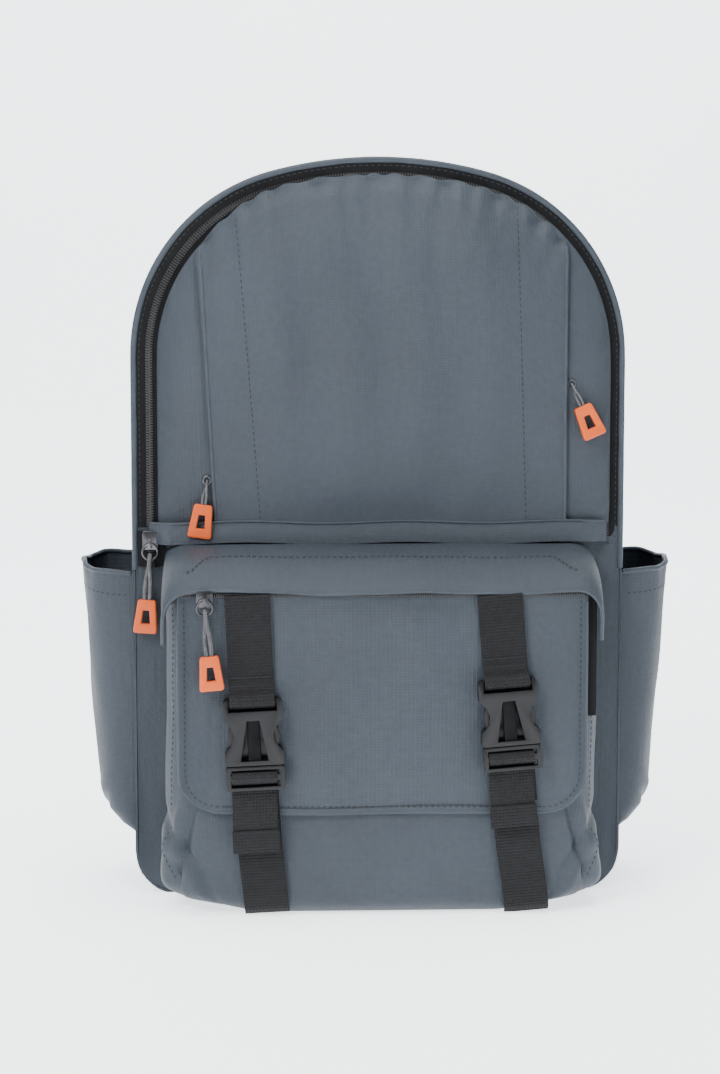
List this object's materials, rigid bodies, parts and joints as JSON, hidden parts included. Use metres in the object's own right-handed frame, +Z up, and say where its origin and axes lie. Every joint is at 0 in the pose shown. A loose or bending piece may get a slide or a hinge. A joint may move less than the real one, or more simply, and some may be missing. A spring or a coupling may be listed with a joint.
{
  "type": "daypack",
  "caption": "Arch-topped daypack with a front opening panel, a hooded flap pocket closed by two side-release buckles, open side pockets and padded shoulder straps.",
  "frame": {"origin": "on the floor under the main compartment, on the bag's middle plane", "axes": "+Z up, the front with the flap and buckles faces -Y, +X to the right of someone facing the front"},
  "size_m": [0.342, 0.173, 0.417],
  "materials": {
    "shell_fabric": "coated ripstop, satin",
    "lining_fabric": "woven lining",
    "webbing": "ribbed webbing",
    "pad_mesh": "air mesh over foam",
    "zip_tape": "woven zip tape with coil",
    "buckle_plastic": "satin moulded",
    "slider_metal": "nickel plated",
    "puller_orange": "soft moulded",
    "pull_cord": "braided cord"
  },
  "bodies": {
    "pack": {"gusset": "shell_fabric", "bottom_panel": "shell_fabric", "back_panel": "shell_fabric", "lower_front_panel": "shell_fabric", "laptop_sleeve": "lining_fabric", "main_zip_outer": "zip_tape", "front_pocket": "shell_fabric", "pocket_hood": "shell_fabric", "pocket_zip_fixed": "zip_tape", "side_pocket_left": "shell_fabric", "side_pocket_right": "shell_fabric", "lower_strap_left": "webbing", "lower_strap_right": "webbing", "back_pad_left": "pad_mesh", "back_pad_right": "pad_mesh", "strap_yoke": "shell_fabric", "lower_webbing_left": "webbing", "lower_webbing_right": "webbing", "strap_anchors": "shell_fabric"},
    "front_panel": {"front_centre_panel": "shell_fabric", "front_side_panel_left": "shell_fabric", "front_side_panel_right": "shell_fabric", "front_band": "shell_fabric", "main_zip_inner": "zip_tape", "placket_zip_left": "zip_tape", "placket_zip_right": "zip_tape", "upper_pocket_bag": "lining_fabric"},
    "flap": {"flap": "shell_fabric", "pocket_zip_flap": "zip_tape", "upper_webbing_left": "webbing", "upper_webbing_right": "webbing", "buckle_socket_left": "buckle_plastic", "buckle_socket_right": "buckle_plastic"},
    "left_plug": {"buckle_plug_left": "buckle_plastic", "strap_tail_left": "webbing"},
    "right_plug": {"buckle_plug_right": "buckle_plastic", "strap_tail_right": "webbing"},
    "left_prong_outer": {"buckle_prong_left_outer": "buckle_plastic"},
    "left_prong_inner": {"buckle_prong_left_inner": "buckle_plastic"},
    "right_prong_outer": {"buckle_prong_right_outer": "buckle_plastic"},
    "right_prong_inner": {"buckle_prong_right_inner": "buckle_plastic"},
    "main_slider": {"main_slider": "slider_metal", "main_ring": "slider_metal"},
    "main_puller": {"main_cord": "pull_cord", "main_tab": "puller_orange"},
    "pocket_slider": {"pocket_slider": "slider_metal", "pocket_ring": "slider_metal"},
    "pocket_puller": {"pocket_cord": "pull_cord", "pocket_tab": "puller_orange"},
    "left_placket_slider": {"left_placket_slider": "slider_metal"},
    "left_placket_puller": {"left_placket_cord": "pull_cord", "left_placket_tab": "puller_orange"},
    "right_placket_slider": {"right_placket_slider": "slider_metal"},
    "right_placket_puller": {"right_placket_cord": "pull_cord", "right_placket_tab": "puller_orange"},
    "left_shoulder_strap": {"shoulder_strap_left": "pad_mesh"},
    "right_shoulder_strap": {"shoulder_strap_right": "pad_mesh"},
    "left_adjuster": {"strap_adjuster_left": "buckle_plastic"},
    "right_adjuster": {"strap_adjuster_right": "buckle_plastic"},
    "haul_handle": {"haul_handle": "webbing"}
  },
  "joints": [
    {"name": "front_panel_open", "type": "hinge", "parent": "pack", "child": "front_panel", "pos_m": [0, -0.0382, 0.205], "axis": [1, 0, 0], "range_deg": [0, 65]},
    {"name": "flap_open", "type": "hinge", "parent": "pack", "child": "flap", "pos_m": [0, -0.086, 0.182], "axis": [-1, 0, 0], "range_deg": [0, 90]},
    {"name": "left_buckle_release", "type": "slide", "parent": "flap", "child": "left_plug", "axis": [0.0436, 0, -0.999], "range_m": [0, 0.028]},
    {"name": "left_prong_outer_squeeze", "type": "hinge", "parent": "left_plug", "child": "left_prong_outer", "pos_m": [-0.08079, -0.0911, 0.08653], "axis": [0, 1, 0], "range_deg": [0, 7], "stiffness_Nm_per_rad": 0.05},
    {"name": "left_prong_inner_squeeze", "type": "hinge", "parent": "left_plug", "child": "left_prong_inner", "pos_m": [-0.05921, -0.0911, 0.08747], "axis": [0, -1, 0], "range_deg": [0, 7], "stiffness_Nm_per_rad": 0.05},
    {"name": "right_buckle_release", "type": "slide", "parent": "flap", "child": "right_plug", "axis": [0.0785, 0, -0.9969], "range_m": [0, 0.028]},
    {"name": "right_prong_inner_squeeze", "type": "hinge", "parent": "right_plug", "child": "right_prong_inner", "pos_m": [0.05923, -0.0911, 0.09615], "axis": [0, 1, 0], "range_deg": [0, 7], "stiffness_Nm_per_rad": 0.05},
    {"name": "right_prong_outer_squeeze", "type": "hinge", "parent": "right_plug", "child": "right_prong_outer", "pos_m": [0.08077, -0.0911, 0.09785], "axis": [0, -1, 0], "range_deg": [0, 7], "stiffness_Nm_per_rad": 0.05},
    {"name": "main_slider_run", "type": "slide", "parent": "pack", "child": "main_slider", "axis": [0, 0, 1], "range_m": [0, 0.09]},
    {"name": "main_puller_lift", "type": "hinge", "parent": "main_slider", "child": "main_puller", "pos_m": [-0.1291, -0.0379, 0.1934], "axis": [-1, 0, 0], "range_deg": [0, 85]},
    {"name": "pocket_slider_run", "type": "slide", "parent": "flap", "child": "pocket_slider", "axis": [1, 0, 0], "range_m": [0, 0.12]},
    {"name": "pocket_puller_swing", "type": "hinge", "parent": "pocket_slider", "child": "pocket_puller", "pos_m": [-0.097, -0.092, 0.173], "axis": [0, -1, 0], "range_deg": [-20, 20]},
    {"name": "left_placket_slider_run", "type": "slide", "parent": "front_panel", "child": "left_placket_slider", "axis": [-0.0523, 0, 0.9986], "range_m": [0, 0.1]},
    {"name": "left_placket_puller_swing", "type": "hinge", "parent": "left_placket_slider", "child": "left_placket_puller", "pos_m": [-0.09686, -0.0355, 0.238], "axis": [0, -1, 0], "range_deg": [-10, 25]},
    {"name": "right_placket_slider_run", "type": "slide", "parent": "front_panel", "child": "right_placket_slider", "axis": [0, 0, 1], "range_m": [-0.045, 0.055]},
    {"name": "right_placket_puller_swing", "type": "hinge", "parent": "right_placket_slider", "child": "right_placket_puller", "pos_m": [0.1086, -0.0355, 0.292], "axis": [0, -1, 0], "range_deg": [-32, 10]},
    {"name": "left_shoulder_strap_lift", "type": "hinge", "parent": "pack", "child": "left_shoulder_strap", "pos_m": [-0.062, 0.0615, 0.377], "axis": [1, 0, 0], "range_deg": [0, 30]},
    {"name": "left_adjuster_tilt", "type": "hinge", "parent": "left_shoulder_strap", "child": "left_adjuster", "pos_m": [-0.098, 0.0712, 0.15], "axis": [1, 0, 0], "range_deg": [0, 35]},
    {"name": "right_shoulder_strap_lift", "type": "hinge", "parent": "pack", "child": "right_shoulder_strap", "pos_m": [0.062, 0.0615, 0.377], "axis": [1, 0, 0], "range_deg": [0, 30]},
    {"name": "right_adjuster_tilt", "type": "hinge", "parent": "right_shoulder_strap", "child": "right_adjuster", "pos_m": [0.098, 0.0712, 0.15], "axis": [1, 0, 0], "range_deg": [0, 35]},
    {"name": "haul_handle_swing", "type": "hinge", "parent": "pack", "child": "haul_handle", "pos_m": [0, 0.0588, 0.405], "axis": [1, 0, 0], "range_deg": [0, 170]}
  ],
  "couplings": [
    {"joint": "left_prong_inner_squeeze", "follows": "left_prong_outer_squeeze", "ratio": 1},
    {"joint": "right_prong_inner_squeeze", "follows": "right_prong_outer_squeeze", "ratio": 1}
  ]
}
